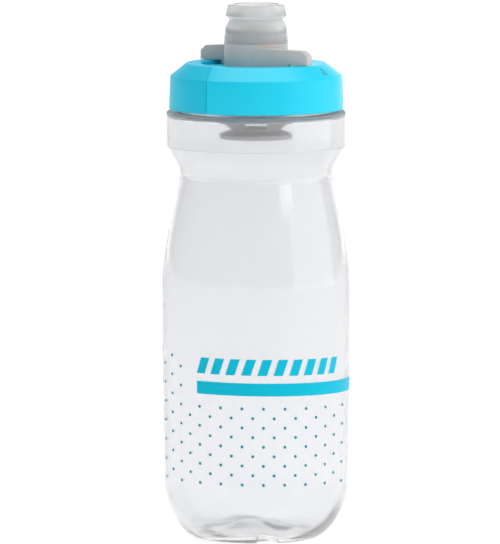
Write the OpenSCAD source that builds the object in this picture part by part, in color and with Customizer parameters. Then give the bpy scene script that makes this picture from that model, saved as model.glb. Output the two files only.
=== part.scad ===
// Sports squeeze bottle: a soft blow-moulded body with a waist, a screw cap with a quarter-turn
// lock dial, and a silicone drinking nozzle.
// Millimetres. The origin is the centre of the base, +Z is up and -Y is the front.

/* [Body] */
// Radius of the barrel, which a bicycle bottle cage grips
barrel_r = 36.8; // [36:0.1:38]
// Height at which the barrel starts to narrow towards the waist
barrel_top_z = 100; // [80:1:110]
// Radius at the lower edge of the waist groove
waist_r = 30.1; // [29:0.1:31]
// Height of the lower edge of the waist groove
waist_z = 141.6; // [138:0.2:143]
// Radius of the collar above the waist
collar_r = 35.05; // [34.8:0.05:35.6]
// Height of the collar's lower edge
collar_z = 154.2; // [153:0.2:156]
// Height of the collar's flat top
collar_top_z = 167.6; // [167:0.1:167.8]
// Wall thickness of the body
wall = 1.2; // [0.9:0.1:1.4]
// Height of the hollow under the base
punt_h = 4; // [3:0.5:6]

/* [Neck and thread] */
// Outer radius of the neck at the thread's root
neck_r = 30.2; // [30:0.05:30.3]
// Inner radius of the mouth
mouth_r = 28.4; // [28.3:0.1:28.8]
// Height of the mouth's rim
rim_z = 180; // [179.8:0.1:180]
// Rise of the thread in one turn
thread_lead = 6; // [5:0.5:6]
// Turns of thread on the neck
neck_turns = 1.25; // [0.75:0.25:1.25]

/* [Cap] */
// Outer radius of the cap's lower edge
cap_r = 34; // [33.8:0.1:35]
// Height of the cap's lower edge when it is screwed home
cap_bottom_z = 168.6; // [168.2:0.1:169]
// Height at which the cap's side turns into the sloping shoulder
cap_shoulder_z = 181.6; // [181:0.1:182.5]
// Outer radius of the flat deck
deck_r = 27.3; // [26.5:0.1:28]
// Height of the flat deck
deck_z = 186.6; // [186.3:0.1:186.8]

/* [Dial] */
// Outer radius of the dial's drum
dial_r = 12.5; // [12:0.1:13]
// Height of the dial's flat top, on which the nozzle stands
dial_top_z = 194.6; // [194:0.1:196]
// Length of a wing from the point where its front face leaves the drum
wing_l = 24.5; // [20:0.5:25]
// Thickness of a wing
wing_t = 4.3; // [3.5:0.1:5]
// Angle of the wings from the X axis when the dial is open
wing_angle = 15.2; // [5:0.1:25]
// Radius of the dial's hollow stem
stem_r = 8.6; // [8:0.1:8.8]

/* [Nozzle] */
// Radius of the nozzle's widest bite flange
flange_r = 12.2; // [11.5:0.1:12.6]
// Height of the nozzle's top
nozzle_top_z = 209.6; // [208:0.2:212]

/* [Valve cage] */
// Radius of the cage's upper cup
cup_r = 14.5; // [14:0.1:16]
// Radius of the cage's lower disc
disc_r = 14.2; // [12:0.1:16]
// Height of the cage's lowest face
cage_z = 157.1; // [156:0.1:157.4]

/* [Hidden] */
$fn = 96;

// Clearance of a turning fit, and the open gap between parts that pass each other
fit = 0.05;
gap = 0.3;
// How far a cutting tool or a buried root runs past the surface it meets
past = 1;

// Body: the base corner is a superellipse from the standing ring up to the barrel's foot
ring_r = 22;
foot_r = barrel_r - 0.8;
foot_z = 21;
barrel_low_z = 76;
corner_power = 1.7;
shoulder_power = 1.5;
base_t = 2.6;
collar_round = 1.3;
rim_round = 0.4;
steps = 10;
notch_w = 8;
notch_h = 1.2;
notch_angle = 11;

// Threads: trapezoids, the cap's running just under the neck's
thread_h = 1.2;
thread_base_w = 2.4;
thread_crest_w = 1;
neck_thread_z = 170.6;
cap_skirt_r = 31.9;
cap_crest_r = neck_r + 0.4;
cap_turns = 1.05;
cap_thread_start = 90;
thread_drop = 1.8;
segments = 36;

// Cap
cap_top_r = cap_r - 0.4;
seam_offset = 11.4;
half_proud = 0.2;
pocket_r = 21.2;
pocket_z = 185;
deck_t = 2;
seal_t = 1.6;
seat_z = rim_z + seal_t;
plug_r = mouth_r - 0.5;
plug_t = 1.2;
plug_z = 176;
bore_r = stem_r + fit;
boss_r = 11;
boss_z = 167.2;
stop_angle = 16;
stop_slack = 1;
stop_turn = 90;
stop_in_r = 11;
stop_out_r = 12.4;
stop_h = 1;

// Dial
wing_z = deck_z + 0.35;
web_z = pocket_z + 0.4;
web_l = sqrt(pow(pocket_r - 0.6, 2) - pow(dial_r, 2));
wing_top_z = 192.5;
wing_rise = 1.1;
wing_tip = 2;
wing_slant = 0.4;
wing_wall = 1.3;
skirt_t = 1.6;
lid_t = 1.8;
channel_r = 6.4;
spout_r = 9.8;
spout_bore_r = 7.8;
spout_z = 198;
bead_z = 196;
bead_r = 10.4;
stem_z = 159.6;
stem_floor = 1.4;
clip_r = 9.2;
clip_z = 165.8;

// O-ring of the stem, a round section that fills its groove
ring_z = 176;
groove_d = 1.3;
groove_h = 2.2;
ring_section_r = (groove_d + fit - 0.03) / 2;
ring_mid_r = stem_r - groove_d + ring_section_r;

// Valve cage and its two windows
cage_top_z = 172;
cage_floor_z = stem_z - 0.2;
cage_seat_z = 166;
cage_step_z = 164.4;
cage_step_r = 9.6;
sleeve_t = 1.2;
waist_cage_r = 9.9;
window_w = 8.6;
window_z = 161.2;
window_h = cage_step_z - window_z;
snap_z = 169.5;
snap_h = 0.35;

// A point of a superellipse quarter, t from 0 at the bottom to 1 at the side
function corner_point(r0, z0, a, b, t) =
    [r0 + a * pow(sin(90 * t), 2 / corner_power), z0 - b * pow(cos(90 * t), 2 / corner_power)];

// A point of a cubic Bezier curve
function bezier(p, t) =
    pow(1 - t, 3) * p[0] + 3 * t * pow(1 - t, 2) * p[1] + 3 * t * t * (1 - t) * p[2] + pow(t, 3) * p[3];

// The outside of the body from the foot to the collar, drawn in by the given amount
function side_curve(inset) = concat(
    [[foot_r - inset, foot_z + 1], [barrel_r - inset, barrel_low_z]],
    [for (i = [0 : steps]) let (u = i / steps)
        [barrel_r - inset - (barrel_r - waist_r) * pow(u, shoulder_power),
         barrel_top_z + (waist_z - barrel_top_z) * u]],
    [for (i = [1 : steps - 1])
        bezier([[waist_r, waist_z], [waist_r - 1.5, waist_z + 2.6],
                [collar_r - 3.65, collar_z - 5.8], [collar_r, collar_z]], i / steps) - [inset, 0]]);

// The body's section: hollow base, standing ring, side, collar, neck and back down inside
function body_section() = concat(
    [[0, punt_h], [10, punt_h - 0.3], [17, punt_h - 1.4], [20.4, 0.5], [21.2, 0]],
    [for (i = [0 : steps]) corner_point(ring_r, foot_z, foot_r - ring_r, foot_z, i / steps)],
    side_curve(0),
    [[collar_r, collar_z], [collar_r, collar_top_z - collar_round]],
    [for (a = [30, 60, 90])
        [collar_r - collar_round * (1 - cos(a)), collar_top_z - collar_round * (1 - sin(a))]],
    [[neck_r, collar_top_z], [neck_r, rim_z - rim_round], [neck_r - rim_round, rim_z],
     [mouth_r + rim_round, rim_z], [mouth_r, rim_z - rim_round], [mouth_r, collar_top_z - wall],
     [collar_r - wall - 0.8, collar_top_z - wall], [collar_r - wall, collar_top_z - wall - 0.8],
     [collar_r - wall, collar_z]],
    reversed(side_curve(wall)),
    [for (i = [steps : -1 : 0])
        corner_point(ring_r, foot_z, foot_r - wall - ring_r, foot_z - base_t, i / steps)],
    [[17, punt_h + 0.3], [10, punt_h + 1.4], [0, punt_h + 1.7]]);

function reversed(list) = [for (i = [len(list) - 1 : -1 : 0]) list[i]];

// One helical thread as a closed strip; it fades in and out over its end segments
module thread(root_r, crest_r, turns, start_angle, start_z) {
    count = round(turns * segments);
    fade = 5;
    rings = [for (i = [0 : count]) let (
        a = start_angle + 360 * i / segments,
        z = start_z + thread_lead * a / 360,
        grown = min(1, i / fade, (count - i) / fade),
        top = root_r + (crest_r - root_r) * max(grown, 0.05))
        [for (p = [[root_r, -thread_base_w / 2], [top, -thread_crest_w / 2],
                   [top, thread_crest_w / 2], [root_r, thread_base_w / 2]])
            [p[0] * cos(a), p[0] * sin(a), z + p[1]]]];
    points = [for (ring = rings) for (p = ring) p];
    sides = [for (i = [0 : count - 1]) for (k = [0 : 3]) let (
        a = 4 * i + k,
        b = 4 * i + (k + 1) % 4)
        each [[a, b, b + 4], [a, b + 4, a + 4]]];
    ends = [[3, 2, 1, 0], [4 * count, 4 * count + 1, 4 * count + 2, 4 * count + 3]];
    faces = concat(sides, ends);
    polyhedron(points, crest_r > root_r ? faces : [for (f = faces) reversed(f)]);
}

// A straight-sided ring between two radii and two heights
module ring(inner, outer, low, high) {
    translate([0, 0, low]) difference() {
        cylinder(r = outer, h = high - low);
        translate([0, 0, -past]) cylinder(r = inner, h = high - low + 2 * past);
    }
}

// Two boxes through the stem and the cage wall, front and back, that water passes
module windows(reach) {
    translate([-window_w / 2, -reach, window_z]) cube([window_w, 2 * reach, window_h]);
}

// A sector of a ring, centred on the X axis, and its twin on the other side
module stop_sectors(inner, outer, low, high, from, to) {
    for (half = [0, 180])
        rotate([0, 0, half + from]) rotate_extrude(angle = to - from)
            translate([inner, low]) square([outer - inner, high - low]);
}

module bottle_body() {
    color([0.93, 0.94, 0.95, 0.55]) {
        difference() {
            rotate_extrude() polygon(body_section());
            for (half = [0, 180])
                rotate([0, 0, notch_angle + half]) translate([-notch_w / 2, -ring_r - 3, -past])
                    cube([notch_w, 6, notch_h + past]);
        }
        thread(neck_r - 0.5, neck_r + thread_h, neck_turns, 0, neck_thread_z);
    }
}

// The cap's outside from its lower edge to the flat deck
function cap_outside(proud) =
    [[cap_r + proud, cap_bottom_z], [cap_top_r + proud, cap_shoulder_z],
     [deck_r + 1.5 * proud, deck_z]];

module cap_shell() {
    section = concat(cap_outside(0),
        [[pocket_r, deck_z], [pocket_r - 0.2, pocket_z], [bore_r, pocket_z], [bore_r, boss_z], [boss_r, boss_z],
         [boss_r, snap_z - 0.6], [boss_r + snap_h, snap_z], [boss_r, snap_z + 0.6],
         [boss_r, pocket_z - deck_t], [pocket_r + 1.6, pocket_z - deck_t],
         [pocket_r + 1.6, deck_z - deck_t], [plug_r - plug_t, deck_z - 2.3],
         [plug_r - plug_t, plug_z], [plug_r, plug_z], [plug_r, seat_z],
         [cap_skirt_r - 1.1, seat_z], [cap_skirt_r, seat_z - 1], [cap_skirt_r, cap_bottom_z]]);
    band = concat(cap_outside(half_proud), reversed(cap_outside(-0.5)));
    color([0.12, 0.82, 0.94]) {
        difference() {
            union() {
                rotate_extrude() polygon(section);
                // One half stands a little proud; its seams run parallel to the locked wings
                intersection() {
                    rotate_extrude() polygon(band);
                    rotate([0, 0, -wing_angle]) translate([0, 0, cap_bottom_z - past]) union() {
                        translate([-seam_offset, -2 * cap_r, 0]) cube([3 * cap_r, 2 * cap_r, cap_r]);
                        translate([seam_offset, -past, 0]) cube([2 * cap_r, 2 * cap_r, cap_r]);
                    }
                }
            }
            stop_sectors(stop_in_r - gap, stop_out_r + gap, pocket_z - stop_h - 0.2, pocket_z + past,
                -stop_turn - stop_angle / 2 - stop_slack, stop_angle / 2 + stop_slack);
        }
        thread(cap_skirt_r + 0.5, cap_crest_r, cap_turns, cap_thread_start,
            neck_thread_z - thread_drop);
    }
}

module rim_seal() {
    color([0.85, 0.86, 0.86]) ring(plug_r + gap, neck_r + 0.4, rim_z, seat_z);
}

// One wing with its hollow underside; its front face is tangent to the drum, and its root
// reaches down into the cap's pocket
module wing() {
    side = [[0, web_z], [web_l, web_z], [web_l, wing_z], [wing_l, wing_z], [wing_l, wing_top_z - wing_tip],
            [wing_l - wing_tip, wing_top_z], [0, wing_top_z + wing_rise]];
    plan = [[0, dial_r], [wing_l - wing_slant, dial_r], [wing_l + wing_slant, dial_r - wing_t],
            [0, dial_r - wing_t]];
    rotate([0, 0, -wing_angle]) mirror([0, 1, 0]) difference() {
        intersection() {
            translate([0, dial_r, 0]) rotate([90, 0, 0]) linear_extrude(wing_t) polygon(side);
            translate([0, 0, web_z]) linear_extrude(dial_r) polygon(plan);
        }
        translate([dial_r, dial_r - wing_t + wing_wall, web_z - past])
            cube([wing_l - dial_r - wing_wall - 0.4, wing_t - 2 * wing_wall,
                  wing_top_z - wing_tip - web_z + past]);
    }
}

// The spout and its bead, which the nozzle is stretched over
module spout() {
    rotate_extrude() polygon([[0, dial_top_z - 0.5], [spout_r, dial_top_z - 0.5],
        [spout_r, bead_z - 0.7], [bead_r, bead_z], [bead_r, bead_z + 0.3], [spout_r, bead_z + 1],
        [spout_r, spout_z - 0.4], [spout_r - 0.4, spout_z], [0, spout_z]]);
}

module lockout_dial() {
    color([0.66, 0.66, 0.67]) difference() {
        union() {
            translate([0, 0, pocket_z + 0.2])
                cylinder(r = dial_r, h = dial_top_z - pocket_z - 0.2);
            for (half = [0, 180])
                rotate([0, 0, half]) wing();
            spout();
            stop_sectors(stop_in_r, stop_out_r, pocket_z + 0.2 - stop_h, pocket_z + past,
                -stop_angle / 2, stop_angle / 2);
            translate([0, 0, stem_z]) cylinder(r = stem_r, h = dial_top_z - stem_z);
            rotate_extrude() polygon([[stem_r - 0.5, clip_z], [clip_r - 0.3, clip_z],
                [clip_r, clip_z + 0.5], [clip_r, boss_z - 0.2], [stem_r - 0.5, boss_z - 0.2]]);
        }
        // The drum is a thin cup around the stem
        ring(stem_r, dial_r - skirt_t, pocket_z - past, dial_top_z - lid_t);
        rotate_extrude() polygon([[0, stem_z + stem_floor], [channel_r, stem_z + stem_floor],
            [channel_r, dial_top_z - 3], [spout_bore_r, dial_top_z - 1],
            [spout_bore_r, spout_z + past], [0, spout_z + past]]);
        windows(dial_r);
        ring(stem_r - groove_d, dial_r, ring_z - groove_h / 2, ring_z + groove_h / 2);
    }
}

module dial_o_ring() {
    color([0.2, 0.2, 0.21]) rotate_extrude() translate([ring_mid_r, ring_z])
        circle(r = ring_section_r, $fn = 32);
}

module valve_cage() {
    color([0.6, 0.6, 0.61]) difference() {
        rotate_extrude() polygon([[0, cage_z], [disc_r - 0.4, cage_z], [disc_r, cage_z + 0.4],
            [disc_r, cage_z + 1.8], [waist_cage_r, cage_z + 3.3], [waist_cage_r, cage_z + 3.9],
            [cup_r, cage_z + 6.9], [cup_r, cage_top_z], [cup_r - sleeve_t, cage_top_z],
            [cup_r - sleeve_t, cage_seat_z + sleeve_t], [boss_r + sleeve_t, cage_seat_z + sleeve_t],
            [boss_r + sleeve_t, cage_top_z], [boss_r, cage_top_z], [boss_r, snap_z + 0.6],
            [boss_r + snap_h, snap_z], [boss_r, snap_z - 0.6], [boss_r, cage_seat_z],
            [cage_step_r, cage_seat_z], [cage_step_r, cage_step_z], [bore_r, cage_step_z],
            [bore_r, cage_floor_z], [0, cage_floor_z]]);
        windows(cup_r + past);
    }
}

module cage_seal() {
    color([0.2, 0.2, 0.21]) ring(clip_r + 0.2, boss_r, cage_seat_z, boss_z);
}

// The nozzle: a bite flange over a short neck, closed inside by a slit valve
module nozzle() {
    valve_z = 203.4;
    valve_t = 0.8;
    slit = [0.15, 7, 6];
    color([0.78, 0.79, 0.8, 0.8]) difference() {
        rotate_extrude() polygon([[0, dial_top_z], [dial_r, dial_top_z], [dial_r - 0.1, 198],
            [dial_r - 0.3, 200.1], [11.5, 201.9], [10.5, 203.6], [11, 204.5], [flange_r, 205.1],
            [flange_r - 1.1, nozzle_top_z], [0, nozzle_top_z]]);
        spout();
        // Chamber under the valve, and the open mouth above it
        rotate_extrude() polygon([[0, spout_z - 0.2], [spout_bore_r, spout_z - 0.2],
            [spout_bore_r + 0.7, spout_z + 1.5], [spout_bore_r, valve_z - 1],
            [spout_bore_r - 1, valve_z], [0, valve_z - 0.9]]);
        rotate_extrude() polygon([[0, valve_z + valve_t - 0.9], [spout_bore_r - 1.2, valve_z + valve_t],
            [spout_bore_r - 0.6, valve_z + valve_t + 0.6], [spout_bore_r + 1, nozzle_top_z + 0.01],
            [0, nozzle_top_z + 0.01]]);
        for (turn = [0, 90])
            rotate([0, 0, turn + 45]) translate([-slit[0] / 2, -slit[1] / 2, spout_z])
                cube(slit);
    }
}

bottle_body();
cap_shell();
rim_seal();
lockout_dial();
dial_o_ring();
valve_cage();
cage_seal();
nozzle();
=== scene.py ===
"""A sports squeeze bottle: its turned, moulded and printed pieces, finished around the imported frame."""

import math

import bmesh
import bpy
from mathutils import Matrix, Vector


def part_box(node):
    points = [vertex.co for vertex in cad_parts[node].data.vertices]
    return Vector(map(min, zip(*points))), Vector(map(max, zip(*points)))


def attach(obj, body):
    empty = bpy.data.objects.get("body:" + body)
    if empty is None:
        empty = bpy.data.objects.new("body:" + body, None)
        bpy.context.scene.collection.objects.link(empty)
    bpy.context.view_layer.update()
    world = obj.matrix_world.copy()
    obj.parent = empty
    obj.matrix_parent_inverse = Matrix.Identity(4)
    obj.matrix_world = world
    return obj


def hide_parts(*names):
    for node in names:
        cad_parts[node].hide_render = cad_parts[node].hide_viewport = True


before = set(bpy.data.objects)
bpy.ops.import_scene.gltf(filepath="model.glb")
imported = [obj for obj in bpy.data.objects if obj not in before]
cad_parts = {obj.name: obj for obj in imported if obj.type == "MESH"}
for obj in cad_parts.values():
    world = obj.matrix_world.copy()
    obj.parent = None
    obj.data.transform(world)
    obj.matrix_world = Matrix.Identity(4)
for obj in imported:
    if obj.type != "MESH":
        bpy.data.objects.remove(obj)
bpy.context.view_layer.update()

MM = 0.001
WELD = 1e-7  # metres; points nearer than this are one point
FRONT = -90.0  # the printed front, as an angle about the axis from +X


# ---------------------------------------------------------------- sizes, in millimetres

def low(node):
    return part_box(node)[0] / MM


def high(node):
    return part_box(node)[1] / MM


BARREL_R = high("bottle_body").x
RIM_Z = high("bottle_body").z
NECK_R, MOUTH_R = 30.2, 28.4
WALL = 1.2
BARREL_TOP_Z, WAIST_R, WAIST_Z = 100.0, 30.1, 141.6
COLLAR_R, COLLAR_Z, COLLAR_TOP_Z = 35.05, 154.2, 167.6
RING_R, FOOT_R, FOOT_Z, BARREL_LOW_Z = 22.0, BARREL_R - 0.8, 21.0, 76.0
CORNER_POWER, SHOULDER_POWER = 1.7, 1.5
BASE_T, PUNT_H, FOOT_WAVE_Z = 2.6, 4.0, 26.0
NOTCH_ANGLE, NOTCH_W, NOTCH_H = FRONT + 11.0, 8.0, 1.2

THREAD_LEAD, THREAD_H, THREAD_HALF_W, THREAD_FLANK = 6.0, 1.2, 0.5, 0.7
NECK_THREAD_Z, NECK_TURNS = 170.6, 1.25
CAP_THREAD_START, CAP_TURNS, CAP_THREAD_H = 90.0, 1.05, 1.3
THREAD_DROP = 1.8

CAP_Z, CAP_R, CAP_TOP_R = 168.6, -low("cap_shell").x, -low("cap_shell").x - 0.4
CAP_SHOULDER_Z, DECK_R, DECK_Z = 181.6, 27.3, high("cap_shell").z
SKIRT_R, SEAT_Z, PLUG_R, PLUG_T, PLUG_Z = 31.9, RIM_Z + 1.6, MOUTH_R - 0.5, 1.2, 176.0
POCKET_R, POCKET_Z, DECK_T = 21.2, 185.0, 2.0
SEAM_OFFSET, HALF_PROUD, SEAM_GROOVE = 11.4, 0.2, 0.3
BOSS_R, BOSS_Z, SNAP_Z, SNAP_H = 11.0, low("cap_shell").z, 169.5, 0.35

DIAL_R, DIAL_TOP_Z, DIAL_Z = 12.5, low("nozzle").z, POCKET_Z + 0.2
STEM_R, STEM_Z, STEM_FLOOR, CHANNEL_R = 8.6, low("lockout_dial").z, 1.4, 6.4
BORE_R = STEM_R + 0.05
SPOUT_R, SPOUT_BORE_R, SPOUT_Z = 9.8, 7.8, high("lockout_dial").z
BEAD_R, BEAD_Z = 10.4, 196.0
WING_L, WING_T, WING_ANGLE, WING_SLANT = 24.5, 4.3, 15.2, 0.4
WING_Z, WING_TOP_Z, WING_RISE, WING_TIP = DECK_Z + 0.35, 192.5, 1.1, 2.0
WEB_Z, WEB_L, WING_WALL = POCKET_Z + 0.4, math.sqrt((POCKET_R - 0.6) ** 2 - DIAL_R ** 2), 1.3
CLIP_R, CLIP_Z = 9.2, 165.8
GROOVE_D, GROOVE_H, O_RING_Z = 1.3, 2.2, 176.0
STOP_IN_R, STOP_OUT_R, STOP_ANGLE, STOP_TURN, STOP_H = 11.0, 12.4, 16.0, 90.0, 1.0

CUP_R, DISC_R, CAGE_WAIST_R = 14.5, 14.2, 9.9
CAGE_Z, CAGE_TOP_Z = low("valve_cage").z, high("valve_cage").z
CAGE_SEAT_Z, CAGE_STEP_Z, CAGE_STEP_R, SLEEVE_T = 166.0, 164.4, 9.6, 1.2
WINDOW_W, WINDOW_Z = 8.6, 161.2

NOZZLE_TOP_Z, FLANGE_R = high("nozzle").z, 12.2
VALVE_Z, VALVE_T, SLIT_L, SLIT_W = 203.4, 0.8, 7.0, 0.15


# ---------------------------------------------------------------- outlines

def outline(*corners, closed=False, arc_steps=5):
    """Corners as (radius, height, rounding); each rounded corner becomes a short parabolic arc."""
    points = []
    count = len(corners)
    for i, corner in enumerate(corners):
        here = Vector(corner[:2])
        rounding = corner[2] if len(corner) > 2 else 0.0
        if not rounding or (not closed and i in (0, count - 1)):
            points.append(here)
            continue
        before = Vector(corners[i - 1][:2]) - here
        after = Vector(corners[(i + 1) % count][:2]) - here
        reach = min(rounding, 0.48 * before.length, 0.48 * after.length)
        start, end = before.normalized() * reach, after.normalized() * reach
        for k in range(arc_steps + 1):
            t = k / arc_steps
            points.append(here + start * (1 - t) ** 2 + end * t ** 2)
    return points


def dense(points, spacing):
    """The same line with extra points, none further apart than the spacing."""
    out = [points[0]]
    for a, b in zip(points, points[1:]):
        parts = max(1, math.ceil((b - a).length / spacing))
        out += [a.lerp(b, k / parts) for k in range(1, parts + 1)]
    return out


def base_corner(inset, lift, steps=28):
    """A superellipse quarter from the standing ring up to the barrel's foot."""
    wide, tall = FOOT_R - inset - RING_R, FOOT_Z - lift
    points = []
    for i in range(steps + 1):
        t = math.pi / 2 * i / steps
        points.append(Vector((RING_R + wide * math.sin(t) ** (2 / CORNER_POWER),
                              FOOT_Z - tall * math.cos(t) ** (2 / CORNER_POWER))))
    return points


def body_side(inset, steps=32):
    """The foot, the barrel, the shoulder and the waist up to the collar."""
    points = [Vector((FOOT_R - inset, FOOT_Z + 1)), Vector((BARREL_R - inset, BARREL_LOW_Z))]
    for i in range(steps + 1):
        u = i / steps
        points.append(Vector((BARREL_R - inset - (BARREL_R - WAIST_R) * u ** SHOULDER_POWER,
                              BARREL_TOP_Z + (WAIST_Z - BARREL_TOP_Z) * u)))
    pulls = [Vector((WAIST_R, WAIST_Z)), Vector((WAIST_R - 1.5, WAIST_Z + 2.6)),
             Vector((COLLAR_R - 3.65, COLLAR_Z - 5.8)), Vector((COLLAR_R, COLLAR_Z))]
    for i in range(1, steps):
        t = i / steps
        point = (pulls[0] * (1 - t) ** 3 + pulls[1] * 3 * t * (1 - t) ** 2
                 + pulls[2] * 3 * t * t * (1 - t) + pulls[3] * t ** 3)
        points.append(point - Vector((inset, 0)))
    return points


def smoothstep(x):
    x = min(1.0, max(0.0, x))
    return x * x * (3 - 2 * x)


def thread_height(angle, z, start_z, start_angle, turns):
    """How far a thread stands out at an angle in degrees and a height, from 0 to 1."""
    best = 0.0
    for turn in range(-1, 3):
        run = (angle - start_angle) % 360 + 360 * turn
        if not 0 <= run <= 360 * turns:
            continue
        fade = smoothstep(min(run, 360 * turns - run) / 40)
        off = abs(z - start_z - THREAD_LEAD * (start_angle + run) / 360)
        best = max(best, fade * smoothstep(1 - (off - THREAD_HALF_W) / THREAD_FLANK))
    return best


# ---------------------------------------------------------------- making pieces

def piece(name, verts, faces, body, slot, finish, *nodes, sharp=32):
    """A mesh in millimetres as a piece that rides on a body and stands for CAD nodes."""
    mesh = bpy.data.meshes.new(name)
    mesh.from_pydata([Vector(v) * MM for v in verts], [], faces)
    return dress(mesh, name, body, slot, finish, *nodes, sharp=sharp)


def dress(mesh, name, body, slot, finish, *nodes, sharp=32):
    """Welds and shades a finished mesh, and makes it a piece of the bottle."""
    work = bmesh.new()
    work.from_mesh(mesh)
    bmesh.ops.remove_doubles(work, verts=work.verts, dist=WELD)
    bmesh.ops.recalc_face_normals(work, faces=work.faces)
    work.to_mesh(mesh)
    work.free()
    mesh.shade_smooth()
    mesh.set_sharp_from_angle(angle=math.radians(sharp))
    mesh.materials.clear()
    mesh.materials.append(finish)
    obj = bpy.data.objects.new(name, mesh)
    bpy.context.collection.objects.link(obj)
    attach(obj, body)
    if nodes:
        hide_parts(*nodes)
    return obj


def turned(points, closed=False, segments=144, extra_angles=(), shape=None):
    """Vertices and faces of an outline carried round the axis.

    shape(index, angle, radius, height) may move a point: it returns its angle, radius and height.
    """
    angles = sorted({360 * k / segments for k in range(segments)} | {a % 360 for a in extra_angles})
    verts, rings = [], []
    for i, (r, z) in enumerate(points):
        if r < 1e-6:
            rings.append([len(verts)] * len(angles))
            verts.append((0, 0, z))
            continue
        rings.append(list(range(len(verts), len(verts) + len(angles))))
        for a in angles:
            aa, rr, zz = shape(i, a, r, z) if shape else (a, r, z)
            verts.append((rr * math.cos(math.radians(aa)), rr * math.sin(math.radians(aa)), zz))
    faces = []
    pairs = list(zip(rings, rings[1:])) + ([(rings[-1], rings[0])] if closed else [])
    for lower, upper in pairs:
        for k in range(len(angles)):
            m = (k + 1) % len(angles)
            loop = list(dict.fromkeys((lower[k], lower[m], upper[m], upper[k])))
            if len(loop) > 2:
                faces.append(loop)
    return verts, faces


def solid(verts, faces):
    """A loose helper solid for cutting and joining, in metres."""
    mesh = bpy.data.meshes.new("tool")
    mesh.from_pydata([Vector(v) * MM for v in verts], [], faces)
    work = bmesh.new()
    work.from_mesh(mesh)
    bmesh.ops.recalc_face_normals(work, faces=work.faces)
    work.to_mesh(mesh)
    work.free()
    obj = bpy.data.objects.new("tool", mesh)
    bpy.context.collection.objects.link(obj)
    return obj


def carve(base, *steps):
    """Cuts or joins helper solids to a base, one after another, and returns the finished mesh."""
    for kind, tool in steps:
        modifier = base.modifiers.new(kind.lower(), "BOOLEAN")
        modifier.operation = kind
        modifier.solver = "EXACT"
        modifier.object = tool
    bpy.context.view_layer.update()
    shaped = base.evaluated_get(bpy.context.evaluated_depsgraph_get())
    mesh = bpy.data.meshes.new_from_object(shaped)
    for obj in [base, *(tool for _, tool in steps)]:
        bpy.data.objects.remove(obj)
    return mesh


def block(low_corner, high_corner, turn=0.0):
    """A box between two corners, turned about the axis by an angle in degrees."""
    (x0, y0, z0), (x1, y1, z1) = low_corner, high_corner
    spin = Matrix.Rotation(math.radians(turn), 3, "Z")
    verts = [spin @ Vector((x, y, z)) for z in (z0, z1) for y in (y0, y1) for x in (x0, x1)]
    faces = [(0, 1, 3, 2), (4, 5, 7, 6), (0, 1, 5, 4), (2, 3, 7, 6), (0, 2, 6, 4), (1, 3, 7, 5)]
    return solid(verts, faces)


def sector(inner, outer, low_z, high_z, from_angle, to_angle, steps=24):
    """A piece of a ring between two angles, closed at its ends."""
    verts, faces = [], []
    for k in range(steps + 1):
        a = math.radians(from_angle + (to_angle - from_angle) * k / steps)
        for r, z in ((inner, low_z), (outer, low_z), (outer, high_z), (inner, high_z)):
            verts.append((r * math.cos(a), r * math.sin(a), z))
    for k in range(steps):
        for i in range(4):
            j = (i + 1) % 4
            faces.append((4 * k + i, 4 * k + j, 4 * k + 4 + j, 4 * k + 4 + i))
    faces += [(3, 2, 1, 0), tuple(4 * steps + i for i in range(4))]
    return solid(verts, faces)


# ---------------------------------------------------------------- finishes

class Value:
    """A number in a material; arithmetic on it adds Math nodes."""

    def __init__(self, finish, socket):
        self.finish, self.socket = finish, socket

    def math(self, operation, *operands):
        settings = {"operation": operation}
        return self.finish.node("ShaderNodeMath", settings, dict(enumerate(operands)))[0]

    def __add__(self, other):
        return self.math("ADD", self, other)

    def __sub__(self, other):
        return self.math("SUBTRACT", self, other)

    def __rsub__(self, other):
        return self.math("SUBTRACT", other, self)

    def __mul__(self, other):
        return self.math("MULTIPLY", self, other)

    __radd__ = __add__
    __rmul__ = __mul__

    def clamped(self):
        return self.math("MINIMUM", self.math("MAXIMUM", self, 0.0), 1.0)


class Made:
    """A node that was added; its outputs by name or number are values."""

    def __init__(self, finish, node):
        self.finish, self.made = finish, node

    def __getitem__(self, key):
        return Value(self.finish, self.made.outputs[key])


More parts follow.
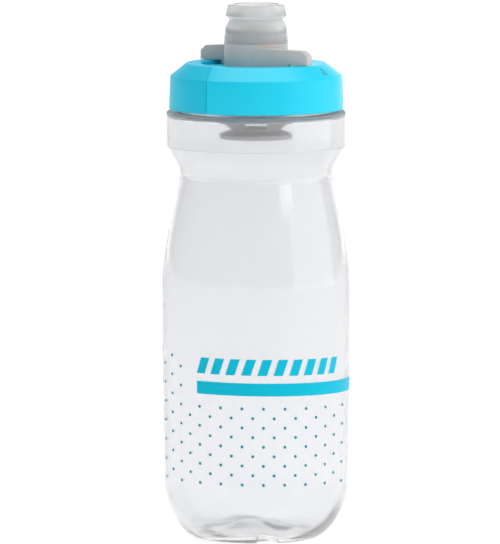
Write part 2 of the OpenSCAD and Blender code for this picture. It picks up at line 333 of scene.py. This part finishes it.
class Finish:
    """One material of the bottle, built node by node around a Principled shader."""

    def __init__(self, name, **constants):
        self.material = bpy.data.materials.new(name)
        self.material.use_nodes = True
        self.tree = self.material.node_tree
        self.tree.nodes.clear()
        self.shader = self.tree.nodes.new("ShaderNodeBsdfPrincipled")
        for key, value in constants.items():
            label = key.replace("_", " ").title().replace("Ior", "IOR")
            self.shader.inputs[label].default_value = value
        end = self.tree.nodes.new("ShaderNodeOutputMaterial")
        self.tree.links.new(self.shader.outputs[0], end.inputs["Surface"])
        place = self.tree.nodes.new("ShaderNodeTexCoord")
        self.place = Value(self, place.outputs["Object"])

    def node(self, kind, settings, sockets):
        """Adds any node: its settings first, then its sockets' values or links."""
        made = self.tree.nodes.new(kind)
        for key, value in settings.items():
            setattr(made, key, value)
        for key, value in sockets.items():
            if isinstance(value, Value):
                self.tree.links.new(value.socket, made.inputs[key])
            else:
                made.inputs[key].default_value = value
        return Made(self, made)

    def stretched(self, x, y, z):
        """The place on the object, scaled along each axis."""
        sockets = {0: self.place, 1: (x, y, z)}
        return self.node("ShaderNodeVectorMath", {"operation": "MULTIPLY"}, sockets)["Vector"]

    def along(self, x, y, z):
        """How far the place on the object lies along a direction."""
        return self.node("ShaderNodeVectorMath", {"operation": "DOT_PRODUCT"},
                         {0: self.place, 1: (x, y, z)})["Value"]

    def noise(self, scale, detail=2.0, roughness=0.5, at=None):
        sockets = {"Vector": at or self.place, "Scale": scale, "Detail": detail, "Roughness": roughness}
        return self.node("ShaderNodeTexNoise", {}, sockets)["Fac"]

    def mix(self, factor, one, other):
        settings = {"data_type": "RGBA"}
        return self.node("ShaderNodeMix", settings, {0: factor, 6: one, 7: other})[2]

    def feed(self, key, value):
        self.tree.links.new(value.socket, self.shader.inputs[key])

    def bump(self, height, distance, strength=1.0):
        sockets = {"Height": height, "Distance": distance, "Strength": strength}
        self.feed("Normal", self.node("ShaderNodeBump", {}, sockets)["Normal"])


PAINTED_FOOT_Z, LIP_LOW_Z, LIP_HIGH_Z = 10.0, 166.2, 168.2
FOOT_BLEND, LIP_BLEND, HALF_BLEND, SEAM_BLEND = 120, 2500, 2000, 4000  # how fast each mask changes per metre; the foot, lip and half masks carry painted lightening


def clear_polyethylene():
    """Soft blown polyethylene: clear but milky, with faint streaks and a matt lip; the foot and the lip are
    painted whiter, lifting the shade that falls on them.
    """
    finish = Finish("clear_polyethylene", transmission_weight=0.88, ior=1.42)
    streaks = finish.noise(60, detail=3, at=finish.stretched(1, 1, 0.08))
    cloud = finish.noise(28, detail=2)
    milk = (streaks * 0.5 + cloud * 0.5).clamped()
    height = finish.along(0, 0, 1)
    # painted light: below this height the foot is whitened to lift the shade under the bottle
    foot = ((PAINTED_FOOT_Z * MM - height) * FOOT_BLEND).clamped()
    # the lip band is rougher, and is also painted whiter to lift the shade under the cap's rim
    lip = ((height - LIP_LOW_Z * MM) * LIP_BLEND).clamped()
    lip = lip * ((LIP_HIGH_Z * MM - height) * LIP_BLEND).clamped()
    wall = finish.mix(milk, (0.905, 0.915, 0.935, 1), (0.945, 0.95, 0.96, 1))
    # painted light: the wall's colour turns near white on the foot and on the lip
    finish.feed("Base Color", finish.mix((foot + lip).clamped(), wall, (0.99, 0.99, 0.995, 1)))
    finish.feed("Roughness", 0.07 + milk * 0.08 + lip * 0.4)
    finish.bump(finish.noise(260, detail=2) * 0.7 + streaks * 0.3, distance=0.00012, strength=0.35)
    return finish.material


def cap_polypropylene():
    """Cyan moulding plastic with a fine spark-eroded skin; the raised half is smoother, and is painted paler
    as painted light where the lamps fall on it.
    """
    finish = Finish("cap_polypropylene", ior=1.49, specular_ior_level=0.3)
    flow = finish.noise(45, detail=3, at=finish.stretched(1, 1, 2.5))
    skin = finish.noise(2600, detail=2)
    lean = math.radians(FRONT + 90 - WING_ANGLE)
    across = finish.along(math.cos(lean), math.sin(lean), 0)
    behind = finish.along(-math.sin(lean), math.cos(lean), 0)
    ahead = (behind * -HALF_BLEND).clamped()
    # the raised half: its lower roughness is real, its paler colour is painted light
    proud_and_lit = ((across + SEAM_OFFSET * MM) * SEAM_BLEND).clamped() * ahead
    proud_and_lit = proud_and_lit + ((across - SEAM_OFFSET * MM) * SEAM_BLEND).clamped() * (1 - ahead)
    # painted light: a lit, paler copy of the cyan for the raised half
    plain = finish.mix(flow, (0.0, 0.52, 0.72, 1), (0.0, 0.56, 0.77, 1))
    painted_lit_cyan = finish.mix(flow, (0.0, 0.60, 0.82, 1), (0.01, 0.65, 0.88, 1))
    finish.feed("Base Color", finish.mix(proud_and_lit, plain, painted_lit_cyan))
    finish.feed("Roughness", 0.40 + skin * 0.12 - proud_and_lit * 0.12)
    finish.bump(skin, distance=0.00004, strength=0.5)
    return finish.material


def icon_polypropylene():
    """The same plastic where the mould is polished, which looks a little darker."""
    finish = Finish("icon_polypropylene", ior=1.49)
    skin = finish.noise(1800, detail=2)
    finish.feed("Base Color", finish.mix(skin, (0.10, 0.40, 0.50, 1), (0.12, 0.46, 0.56, 1)))
    finish.feed("Roughness", 0.18 + skin * 0.1)
    return finish.material


def dial_nylon():
    """Grey nylon with a dull, finely pitted skin."""
    finish = Finish("dial_nylon", ior=1.5)
    cloud = finish.noise(120, detail=3)
    skin = finish.noise(3200, detail=3)
    finish.feed("Base Color", finish.mix(cloud, (0.54, 0.50, 0.49, 1), (0.59, 0.55, 0.54, 1)))
    finish.feed("Roughness", 0.32 + skin * 0.16)
    finish.bump(skin, distance=0.00005, strength=0.6)
    return finish.material


def nozzle_silicone():
    """Cloudy silicone that light passes through, with a soft dusty surface."""
    finish = Finish("nozzle_silicone", transmission_weight=0.62, ior=1.40)
    cloud = finish.noise(150, detail=3)
    finish.feed("Base Color", finish.mix(cloud, (0.88, 0.88, 0.88, 1), (0.94, 0.94, 0.94, 1)))
    finish.feed("Roughness", 0.17 + cloud * 0.12)
    finish.bump(finish.noise(1500, detail=2), distance=0.00001, strength=0.4)
    return finish.material


def seal_silicone():
    """Smooth pale rubber with a slight bloom."""
    finish = Finish("seal_silicone", ior=1.43)
    bloom = finish.noise(300, detail=3)
    finish.feed("Base Color", finish.mix(bloom, (0.62, 0.63, 0.64, 1), (0.72, 0.73, 0.73, 1)))
    finish.feed("Roughness", 0.35 + bloom * 0.2)
    finish.bump(bloom, distance=0.00003, strength=0.5)
    return finish.material


def screen_ink(name, thin, thick):
    """Printing ink with the faint mesh texture of its screen, between two depths of its colour."""
    finish = Finish(name, ior=1.5, specular_ior_level=0.12)
    mesh = finish.noise(2200, detail=1)
    finish.feed("Base Color", finish.mix(mesh, (*thick, 1), (*thin, 1)))
    finish.feed("Roughness", 0.35 + mesh * 0.15)
    finish.bump(mesh, distance=0.00002, strength=0.4)
    return finish.material


def studio_white():
    """The plain pale floor, which glows a little like a light table."""
    finish = Finish("studio_white", roughness=0.9, emission_strength=0.78, specular_ior_level=0.0)
    finish.shader.inputs["Emission Color"].default_value = (1, 1, 1, 1)
    paper = finish.noise(3, detail=2)
    finish.feed("Base Color", finish.mix(paper, (0.48, 0.48, 0.48, 1), (0.50, 0.50, 0.50, 1)))
    return finish.material


# ---------------------------------------------------------------- the bottle body

RING_POINTS, RIM_POINTS = 12, 12


def body_profile():
    """The shell's outline, its neck's indices, and the indices where its foot ends and its inside starts."""
    base = outline((0, PUNT_H), (10, PUNT_H - 0.3), (17, PUNT_H - 1.4, 1.5), (20.4, 0.5, 0.6),
                   (21.2, 0, 0.4), (RING_R, 0))
    crown = outline((COLLAR_R, COLLAR_Z), (COLLAR_R, COLLAR_TOP_Z, 0.6), (NECK_R, COLLAR_TOP_Z, 0.5),
                    (NECK_R, COLLAR_TOP_Z + 1))
    neck = dense([Vector((NECK_R, COLLAR_TOP_Z + 1.2)), Vector((NECK_R, RIM_Z - 0.5))], 0.25)
    rim = outline((NECK_R, RIM_Z - 0.5), (NECK_R, RIM_Z, 0.45), (MOUTH_R, RIM_Z, 0.45),
                  (MOUTH_R, COLLAR_TOP_Z - WALL, 0.8), (COLLAR_R - WALL, COLLAR_TOP_Z - WALL, 1.2),
                  (COLLAR_R - WALL, COLLAR_Z))
    floor = outline((17, PUNT_H + 0.3), (10, PUNT_H + 1.4, 2), (0, PUNT_H + 1.7))
    before = base + base_corner(0, 0) + body_side(0) + crown
    points = before + neck + rim + body_side(WALL)[::-1] + base_corner(WALL, BASE_T)[::-1] + floor
    threaded = range(len(before), len(before) + len(neck))
    return points, threaded, len(base) + RING_POINTS, threaded[-1] + RIM_POINTS


def foot_wave(angle, r, z):
    """The blown plastic sets unevenly in the foot, so its inner skin is slightly wavy."""
    a = math.radians(angle)
    swell = math.sin(3 * a + 0.9 + z / 9) + 0.8 * math.sin(5 * a - r / 8) + 0.5 * math.sin(8 * a + z / 3)
    return 0.28 * swell * smoothstep(r / 12) * smoothstep((FOOT_WAVE_Z - z) / 9)


def bottle_body():
    points, neck, foot_end, inside = body_profile()

    def shape(i, angle, r, z):
        if i in neck:
            return angle, r + THREAD_H * thread_height(angle, z, NECK_THREAD_Z, 0, NECK_TURNS), z
        if i < foot_end and r > 19:
            off = min(abs((angle - NOTCH_ANGLE - half + 180) % 360 - 180) for half in (0, 180))
            across = r * math.radians(off)
            return angle, r, z + max(0, NOTCH_H - z) * smoothstep((NOTCH_W / 2 + 0.5 - across) / 1.0)
        if i >= inside and r > 1 and z < FOOT_WAVE_Z:
            return angle, r, z + foot_wave(angle, r, z)
        return angle, r, z

    verts, faces = turned(points, segments=216, shape=shape)
    return piece("blown_body", verts, faces, "bottle", "clear_body", FINISHES["body"], "bottle_body")


def body_radius(z):
    """The body's outer radius at a height on the barrel or the foot."""
    side = base_corner(0, 0) + body_side(0)
    for a, b in zip(side, side[1:]):
        if a.y <= z <= b.y and b.y > a.y:
            return a.x + (b.x - a.x) * (z - a.y) / (b.y - a.y)
    raise ValueError(f"no barrel at height {z}")


# ---------------------------------------------------------------- the print

INK_T, INK_ROOT = 0.06, 0.03
PRINT_HALF, DOTS_HALF, PRINT_TILT = 100.0, 78.0, 0.6
DOT_R, DOT_COLUMNS, DOT_STEP_Z, DOT_LOW_Z, DOT_SPREAD = 0.6, 46, 3.735, 24.4, 4.5
DOT_SHIFT, DOT_ROWS, DOT_TALL_ROWS, DOT_TALL_FROM = 0.31, 9, 14, -47.0
DOT_DRIFT, DOT_DRIFT_FROM, DOT_WIDEN_FROM, DOT_WIDEN_OVER = 0.0123, 50.0, 45.0, 35.0
BAND_LOW_Z, BAND_HIGH_Z, BAND_FROM, BAND_TO = 59.3, 64.3, FRONT - 39.0, FRONT + PRINT_HALF
BARS_LOW_Z, BARS_HIGH_Z, BARS_TO = 67.3, 73.6, FRONT + 59.6


def on_barrel(angle, z, lift):
    """A place on the print, which sits a little lower towards the right."""
    z -= PRINT_TILT * math.sin(math.radians(angle - FRONT))
    r = body_radius(z) + lift
    return r * math.cos(math.radians(angle)), r * math.sin(math.radians(angle)), z


def film(verts, faces, place, columns, rows, top=INK_T, root=INK_ROOT):
    """Adds a thin closed film; place(u, v, lift) gives its points for u and v from 0 to 1."""
    start = len(verts)
    across = rows + 1
    for lift in (top, -root):
        for i in range(columns + 1):
            for j in range(across):
                verts.append(place(i / columns, j / rows, lift))
    under = (columns + 1) * across
    for i in range(columns):
        for j in range(rows):
            a = start + i * across + j
            faces.append((a, a + across, a + across + 1, a + 1))
            faces.append((a + under, a + under + 1, a + under + across + 1, a + under + across))
    edge = [i * across for i in range(columns + 1)]
    edge += [columns * across + j for j in range(1, across)]
    edge += [i * across + rows for i in range(columns - 1, -1, -1)]
    edge += [j for j in range(rows - 1, 0, -1)]
    for a, b in zip(edge, edge[1:] + edge[:1]):
        faces.append((start + a, start + under + a, start + under + b, start + b))


def leaning(left, width, lean, low_z, high_z):
    """A four-sided patch of the barrel between two heights, its sides leaning to the right."""
    return lambda u, v, lift: on_barrel(left + width * u + lean * v, low_z + (high_z - low_z) * v, lift)


def print_dots():
    """Staggered columns of dots, which drift apart and widen towards the sides."""
    verts, faces = [], []
    sides = 20
    for column in range(DOT_COLUMNS):
        even = (column - DOT_SHIFT) * 360 / DOT_COLUMNS
        azimuth = (even - DOT_SPREAD * math.sin(math.radians(2 * even)) + 180) % 360 - 180
        azimuth += math.copysign(DOT_DRIFT * max(0, abs(azimuth) - DOT_DRIFT_FROM) ** 2, azimuth)
        if abs(azimuth) > DOTS_HALF:
            continue
        angle = FRONT + azimuth
        wider = 1 + (max(0, abs(azimuth) - DOT_WIDEN_FROM) / DOT_WIDEN_OVER) ** 2
        rows = DOT_TALL_ROWS if azimuth <= DOT_TALL_FROM else DOT_ROWS
        for row in range(1 - column % 2, rows, 2):
            z = DOT_LOW_Z + DOT_STEP_Z * row
            start = len(verts)
            turn = math.degrees(DOT_R / body_radius(z)) * wider
            for lift in (INK_T, -INK_ROOT):
                for k in range(sides):
                    a = 2 * math.pi * k / sides
                    verts.append(on_barrel(angle + turn * math.cos(a), z + DOT_R * math.sin(a), lift))
            faces.append(tuple(start + k for k in range(sides)))
            faces.append(tuple(start + sides + k for k in reversed(range(sides))))
            for k in range(sides):
                m = (k + 1) % sides
                faces.append((start + k, start + sides + k, start + sides + m, start + m))
    return piece("print_dots", verts, faces, "bottle", "print_ink", FINISHES["teal"])


def print_band():
    verts, faces = [], []
    film(verts, faces, leaning(BAND_FROM, BAND_TO - BAND_FROM, 0, BAND_LOW_Z, BAND_HIGH_Z), 120, 2)
    return piece("print_band", verts, faces, "bottle", "print_ink", FINISHES["ink"])


def print_bars(count=10, lean=3.4, share=0.6):
    """A plain row of leaning bars, which stands where such bottles carry a word."""
    verts, faces = [], []
    pitch = (BARS_TO - lean - BAND_FROM) / (count - 1 + share)
    for i in range(count):
        place = leaning(BAND_FROM + pitch * i, pitch * share, lean, BARS_LOW_Z, BARS_HIGH_Z)
        film(verts, faces, place, 6, 3)
    return piece("print_bars", verts, faces, "bottle", "print_ink", FINISHES["ink"])


# ---------------------------------------------------------------- the cap

def stop_slots():
    """Cutters for the two curved slots that the dial's lugs run in."""
    reach = STOP_ANGLE / 2 + 1
    return [("DIFFERENCE", sector(STOP_IN_R - 0.3, STOP_OUT_R + 0.3, POCKET_Z - STOP_H - 0.2,
                                  POCKET_Z + 1, half - STOP_TURN - reach, half + reach))
            for half in (0, 180)]


def seam_azimuth(r):
    """The seams run parallel to the locked wings, so they lean across the sloping shoulder."""
    return -math.degrees(math.asin(SEAM_OFFSET / max(r, DECK_R))) - WING_ANGLE


def cap_shell():
    outside = outline((SKIRT_R + 0.9, CAP_Z), (CAP_R, CAP_Z, 0.5), (CAP_TOP_R, CAP_SHOULDER_Z, 0.5),
                      (DECK_R, DECK_Z, 0.5))
    deck = outline((DECK_R - 1, DECK_Z), (POCKET_R, DECK_Z, 0.4), (POCKET_R - 0.2, POCKET_Z, 0.3),
                   (BORE_R, POCKET_Z, 0.2), (BORE_R, BOSS_Z, 0.2), (BOSS_R, BOSS_Z, 0.3),
                   (BOSS_R, SNAP_Z - 0.6), (BOSS_R + SNAP_H, SNAP_Z, 0.3), (BOSS_R, SNAP_Z + 0.6),
                   (BOSS_R, POCKET_Z - DECK_T, 0.5), (POCKET_R + 1.6, POCKET_Z - DECK_T, 0.4),
                   (POCKET_R + 1.6, DECK_Z - DECK_T), (PLUG_R - PLUG_T, DECK_Z - 2.3, 0.4),
                   (PLUG_R - PLUG_T, PLUG_Z, 0.5), (PLUG_R, PLUG_Z, 0.6), (PLUG_R, SEAT_Z, 0.2),
                   (SKIRT_R - 1.1, SEAT_Z, 0.3), (SKIRT_R, SEAT_Z - 1, 0.4), (SKIRT_R, SEAT_Z - 2))
    wall = dense([Vector((SKIRT_R, SEAT_Z - 2.2)), Vector((SKIRT_R, CAP_Z + 0.4))], 0.25)
    threaded = range(len(outside) + len(deck), len(outside) + len(deck) + len(wall))
    seam = FRONT + seam_azimuth(CAP_R)

    def shape(i, angle, r, z):
        if i in threaded:
            start = NECK_THREAD_Z - THREAD_DROP
            grown = thread_height(angle, z, start, CAP_THREAD_START, CAP_TURNS)
            return angle, r - CAP_THREAD_H * grown, z
        if i >= len(outside) or r < SKIRT_R and z < DECK_Z - 4:
            return angle, r, z
        run = (angle - seam + 90) % 360 - 90
        off = min(abs(run), abs(run - 180))
        step = smoothstep((run + 0.25) / 0.5) * smoothstep((180.25 - run) / 0.5)
        out = HALF_PROUD * step - SEAM_GROOVE * (1 - smoothstep((off - 0.15) / 0.3))
        slope = min(1.0, max(0.0, (DECK_Z - z) / (DECK_Z - CAP_SHOULDER_Z)))
        lean = seam_azimuth(r) - seam_azimuth(CAP_R)
        return angle + lean, r + out * (0.6 + 0.4 * slope), z + min(0.0, out) * (1 - slope)

    seams = [seam + half + step for half in (0, 180) for step in (-0.5, -0.3, -0.15, 0.15, 0.3, 0.5)]
    verts, faces = turned(outside + deck + wall, closed=True, extra_angles=seams, shape=shape)
    mesh = carve(solid(verts, faces), *stop_slots())
    return dress(mesh, "cap_moulding", "cap", "cap_plastic", FINISHES["cap"], "cap_shell", sharp=28)


ICON_LINE, ICON_T, ICON_ROOT = 0.28, 0.10, 0.2


def on_shoulder(azimuth, x, y, lift):
    """A place on the cap's sloping shoulder: x to the right and y up the slope from its middle."""
    run, rise = CAP_TOP_R - DECK_R, DECK_Z - CAP_SHOULDER_Z
    slant = math.hypot(run, rise)
    t = 0.5 + y / slant
    r = CAP_TOP_R + HALF_PROUD - run * t + lift * rise / slant
    angle = math.radians(FRONT + azimuth) + x / r
    return r * math.cos(angle), r * math.sin(angle), CAP_SHOULDER_Z + rise * t + lift * run / slant


def lock_icon(name, azimuth, shackle_turn):
    """A small raised padlock: a box, and a shackle that is swung open or closed."""
    corners = [(-1.1, -1.4), (1.1, -1.4), (1.1, 0.2), (-1.1, 0.2)]
    strokes = [(corners[i], corners[(i + 1) % 4]) for i in range(4)] + [((0, -0.9), (0, -0.4))]
    hinge = Vector((0.7, 0.2))
    arc = [Vector((0.7, 0.2)), *(Vector((0.7 * math.cos(a), 0.9 + 0.7 * math.sin(a)))
                                 for a in (math.pi * k / 8 for k in range(9))), Vector((-0.7, 0.4))]
    arc = [hinge + Matrix.Rotation(math.radians(shackle_turn), 2) @ (p - hinge) for p in arc]
    strokes += list(zip(arc, arc[1:]))
    verts, faces = [], []
    for a, b in strokes:
        a, b = Vector(a), Vector(b)
        along = (b - a).normalized() * ICON_LINE / 2
        side = Vector((-along.y, along.x))

        def place(u, v, lift, a=a - along, b=b + along, side=side):
            x, y = a.lerp(b, u) + side * (2 * v - 1)
            return on_shoulder(azimuth, x, y, lift)
        film(verts, faces, place, 2, 1, ICON_T, ICON_ROOT)
    return piece(name, verts, faces, "cap", "cap_plastic", FINISHES["icon"])


def rim_seal():
    inner, outer = PLUG_R + 0.3, NECK_R + 0.4
    points = outline((inner, RIM_Z, 0.3), (outer, RIM_Z, 0.3), (outer, SEAT_Z, 0.3),
                     (inner, SEAT_Z, 0.3), closed=True)
    verts, faces = turned(points, closed=True)
    return piece("rim_gasket", verts, faces, "lift", "seal_rubber", FINISHES["seal"], "rim_seal")


# ---------------------------------------------------------------- the dial and what is on it

def spout_outline():
    return [(SPOUT_R, BEAD_Z - 0.7), (BEAD_R, BEAD_Z, 0.3), (BEAD_R, BEAD_Z + 0.3, 0.3),
            (SPOUT_R, BEAD_Z + 1), (SPOUT_R, SPOUT_Z, 0.4)]


def wing(half):
    """One wing as a bevelled solid; its front face leaves the drum along a tangent."""
    verts = []
    for v, slant in ((DIAL_R, -WING_SLANT), (DIAL_R - WING_T, WING_SLANT)):
        end = WING_L + slant
        for u, z in ((1, WEB_Z), (WEB_L, WEB_Z), (WEB_L, WING_Z), (end, WING_Z),
                     (end, WING_TOP_Z - WING_TIP), (end - WING_TIP, WING_TOP_Z),
                     (1, WING_TOP_Z + WING_RISE)):
            verts.append(Vector((u, -v, z)))
    count = len(verts) // 2
    faces = [tuple(range(count)), tuple(reversed(range(count, 2 * count)))]
    faces += [(i, (i + 1) % count, (i + 1) % count + count, i + count) for i in range(count)]
    obj = solid(verts, faces)
    work = bmesh.new()
    work.from_mesh(obj.data)
    bmesh.ops.bevel(work, geom=list(work.edges), offset=0.45 * MM, segments=3, profile=0.6,
                    affect="EDGES", clamp_overlap=True)
    turn = Matrix.Rotation(math.radians(half - WING_ANGLE), 3, "Z")
    bmesh.ops.rotate(work, verts=work.verts, matrix=turn)
    work.to_mesh(obj.data)
    work.free()
    return obj


def wing_hollow(half):
    """The hollow under a wing, which leaves its walls even."""
    return block((DIAL_R, WING_T - DIAL_R - WING_WALL, WEB_Z - 1),
                 (WING_L - WING_WALL - 0.4, WING_WALL - DIAL_R, WING_TOP_Z - WING_TIP),
                 half - WING_ANGLE)


def lockout_dial():
    stem = outline((0, STEM_Z), (STEM_R, STEM_Z, 0.4), (STEM_R, CLIP_Z), (CLIP_R - 0.3, CLIP_Z, 0.1),
                   (CLIP_R, CLIP_Z + 0.5, 0.2), (CLIP_R, BOSS_Z - 0.2, 0.1), (STEM_R, BOSS_Z - 0.2),
                   (STEM_R, O_RING_Z - GROOVE_H / 2, 0.1), (STEM_R - GROOVE_D, O_RING_Z - GROOVE_H / 2),
                   (STEM_R - GROOVE_D, O_RING_Z + GROOVE_H / 2),
                   (STEM_R, O_RING_Z + GROOVE_H / 2, 0.1), (STEM_R, DIAL_Z), (DIAL_R, DIAL_Z, 0.3),
                   (DIAL_R, DIAL_TOP_Z, 0.15), (SPOUT_R, DIAL_TOP_Z), *spout_outline(), (0, SPOUT_Z))
    cup = outline((STEM_R, DIAL_Z - 1), (DIAL_R - 1.6, DIAL_Z - 1), (DIAL_R - 1.6, DIAL_TOP_Z - 1.8, 0.5),
                  (STEM_R, DIAL_TOP_Z - 1.8, 0.5), closed=True)
    channel = outline((0, STEM_Z + STEM_FLOOR), (CHANNEL_R, STEM_Z + STEM_FLOOR, 0.5),
                      (CHANNEL_R, DIAL_TOP_Z - 3, 1.5), (SPOUT_BORE_R, DIAL_TOP_Z - 1, 1),
                      (SPOUT_BORE_R, SPOUT_Z + 1), (0, SPOUT_Z + 1))
    window = block((-WINDOW_W / 2, -DIAL_R, WINDOW_Z), (WINDOW_W / 2, DIAL_R, CAGE_STEP_Z))
    lugs = [("UNION", sector(STOP_IN_R, STOP_OUT_R, DIAL_Z - STOP_H, DIAL_Z + 1,
                             half - STOP_ANGLE / 2, half + STOP_ANGLE / 2)) for half in (0, 180)]
    mesh = carve(solid(*turned(stem)),
                 ("UNION", wing(0)), ("UNION", wing(180)),
                 ("DIFFERENCE", wing_hollow(0)), ("DIFFERENCE", wing_hollow(180)),
                 ("DIFFERENCE", solid(*turned(cup, closed=True))),
                 ("DIFFERENCE", solid(*turned(channel))),
                 ("DIFFERENCE", window), *lugs)
    return dress(mesh, "dial_moulding", "dial", "dial_plastic", FINISHES["dial"], "lockout_dial")


def dial_o_ring(steps=16):
    section = (GROOVE_D + 0.02) / 2
    middle = STEM_R - GROOVE_D + section
    points = [Vector((middle + section * math.cos(2 * math.pi * k / steps),
                      O_RING_Z + section * math.sin(2 * math.pi * k / steps))) for k in range(steps)]
    verts, faces = turned(points, closed=True)
    return piece("stem_o_ring", verts, faces, "dial", "seal_rubber", FINISHES["seal"], "dial_o_ring",
                 sharp=60)


def nozzle():
    """The silicone mouthpiece, closed inside by a dished valve with a cross slit."""
    outer = [(SPOUT_R, DIAL_TOP_Z), (DIAL_R, DIAL_TOP_Z, 0.25), (DIAL_R - 0.1, 198, 2),
             (DIAL_R - 0.3, 200.1, 1.5), (11.5, 201.9, 1.2), (10.5, 203.6, 1), (11, 204.5, 0.5),
             (FLANGE_R, 205.1, 0.4), (FLANGE_R - 1.1, NOZZLE_TOP_Z, 0.7)]
    bore = SPOUT_BORE_R
    mouth = [(bore + 1, NOZZLE_TOP_Z, 0.7), (bore - 0.6, VALVE_Z + VALVE_T + 0.6, 0.5),
             (bore - 1.2, VALVE_Z + VALVE_T, 0.4), (0, VALVE_Z + VALVE_T - 0.9)]
    under = [(0, VALVE_Z - 0.9), (bore - 1, VALVE_Z, 0.4), (bore, VALVE_Z - 1, 0.6),
             (bore + 0.7, SPOUT_Z + 1.5, 1), (bore, SPOUT_Z), (SPOUT_R, SPOUT_Z)]
    points = outline(*under, *reversed(spout_outline()[:-1]), *outer, *mouth)
    slits = [("DIFFERENCE", block((-SLIT_W / 2, -SLIT_L / 2, SPOUT_Z + 2),
                                  (SLIT_W / 2, SLIT_L / 2, VALVE_Z + VALVE_T + 1), turn))
             for turn in (45, 135)]
    mesh = carve(solid(*turned(points)), *slits)
    return dress(mesh, "silicone_nozzle", "dial", "nozzle_silicone", FINISHES["silicone"], "nozzle")


# ---------------------------------------------------------------- the valve cage under the cap

def valve_cage():
    seat = CAGE_SEAT_Z + SLEEVE_T
    points = outline((0, CAGE_Z), (DISC_R, CAGE_Z, 0.5), (DISC_R, CAGE_Z + 1.8, 0.3),
                     (CAGE_WAIST_R, CAGE_Z + 3.3, 0.4), (CAGE_WAIST_R, CAGE_Z + 3.9, 0.4),
                     (CUP_R, CAGE_Z + 6.9, 0.5), (CUP_R, CAGE_TOP_Z, 0.3),
                     (CUP_R - SLEEVE_T, CAGE_TOP_Z, 0.3), (CUP_R - SLEEVE_T, seat, 0.3),
                     (BOSS_R + SLEEVE_T, seat, 0.3),
                     (BOSS_R + SLEEVE_T, CAGE_TOP_Z, 0.3), (BOSS_R, CAGE_TOP_Z, 0.3),
                     (BOSS_R, SNAP_Z + 0.6), (BOSS_R + SNAP_H, SNAP_Z, 0.3), (BOSS_R, SNAP_Z - 0.6),
                     (BOSS_R, CAGE_SEAT_Z), (CAGE_STEP_R, CAGE_SEAT_Z, 0.2), (CAGE_STEP_R, CAGE_STEP_Z),
                     (BORE_R, CAGE_STEP_Z, 0.2), (BORE_R, STEM_Z - 0.2), (0, STEM_Z - 0.2))
    window = block((-WINDOW_W / 2, -CUP_R - 1, WINDOW_Z), (WINDOW_W / 2, CUP_R + 1, CAGE_STEP_Z))
    mesh = carve(solid(*turned(points)), ("DIFFERENCE", window))
    return dress(mesh, "cage_moulding", "cap", "dial_plastic", FINISHES["dial"], "valve_cage")


def cage_seal():
    inner = CLIP_R + 0.2
    points = outline((inner, CAGE_SEAT_Z, 0.2), (BOSS_R, CAGE_SEAT_Z, 0.2), (BOSS_R, BOSS_Z, 0.2),
                     (inner, BOSS_Z, 0.2), closed=True)
    verts, faces = turned(points, closed=True)
    return piece("cage_gasket", verts, faces, "cap", "seal_rubber", FINISHES["seal"], "cage_seal")


# ---------------------------------------------------------------- the studio

def camera():
    """Stands where the whole bottle fills the view, a little above it, far back with a long lens."""
    distance, height, aim = 5.28, 0.617, Vector((-0.00235, 0, 0.1044))
    data = bpy.data.cameras.new("camera")
    data.sensor_width, data.lens = 36, 896.5
    data.clip_end = 100
    obj = bpy.data.objects.new("camera", data)
    obj.location = (aim.x, -distance, height)
    obj.rotation_mode = "QUATERNION"
    obj.rotation_quaternion = (aim - obj.location).to_track_quat("-Z", "Y")
    bpy.context.collection.objects.link(obj)
    bpy.context.scene.camera = obj


def soft_light(name, azimuth, elevation, distance, wide, tall, power):
    """A rectangular soft box; azimuth is measured from the front towards the right."""
    data = bpy.data.lights.new(name, "AREA")
    data.shape, data.size, data.size_y, data.energy = "RECTANGLE", wide, tall, power
    obj = bpy.data.objects.new(name, data)
    a, e = math.radians(azimuth), math.radians(elevation)
    aim = Vector((0, 0, 0.12))
    level = math.cos(e)
    obj.location = aim + distance * Vector((math.sin(a) * level, -math.cos(a) * level, math.sin(e)))
    obj.rotation_mode = "QUATERNION"
    obj.rotation_quaternion = (aim - obj.location).to_track_quat("-Z", "Y")
    bpy.context.collection.objects.link(obj)


def studio():
    world = bpy.data.worlds.new("studio")
    world.use_nodes = True
    sky = world.node_tree.nodes["Background"]
    sky.inputs["Color"].default_value = (1, 1, 1, 1)
    sky.inputs["Strength"].default_value = 0.42
    bpy.context.scene.world = world
    side = 12.0
    mesh = bpy.data.meshes.new("floor")
    corners = [(-side, -side, 0), (side, -side, 0), (side, side, 0), (-side, side, 0)]
    mesh.from_pydata(corners, [], [(0, 1, 2, 3)])
    mesh.materials.append(studio_white())
    floor = bpy.data.objects.new("floor", mesh)
    bpy.context.collection.objects.link(floor)
    soft_light("window_box", 45, 22, 1.3, 0.40, 0.24, 0.9)
    soft_light("right_wall", 80, 12, 1.6, 2.0, 2.0, 13)
    soft_light("front_fill", 20, 42, 1.6, 1.0, 0.6, 2.2)
    soft_light("overhead", 180, 84, 1.2, 1.4, 0.5, 8)
    soft_light("backdrop", 180, 6, 3.2, 5.0, 1.6, 22)


FINISHES = {
    "body": clear_polyethylene(),
    "cap": cap_polypropylene(),
    "icon": icon_polypropylene(),
    "dial": dial_nylon(),
    "silicone": nozzle_silicone(),
    "seal": seal_silicone(),
    "ink": screen_ink("cyan_ink", (0.0, 0.53, 0.72), (0.0, 0.46, 0.64)),
    "teal": screen_ink("teal_ink", (0.02, 0.30, 0.37), (0.02, 0.26, 0.33)),
}
bpy.context.scene.view_settings.view_transform = "Standard"
camera()
studio()
bottle_body()
print_dots()
print_band()
print_bars()
cap_shell()
lock_icon("icon_open", 59, -35)
lock_icon("icon_closed", 149, 0)
rim_seal()
valve_cage()
cage_seal()
lockout_dial()
dial_o_ring()
nozzle()
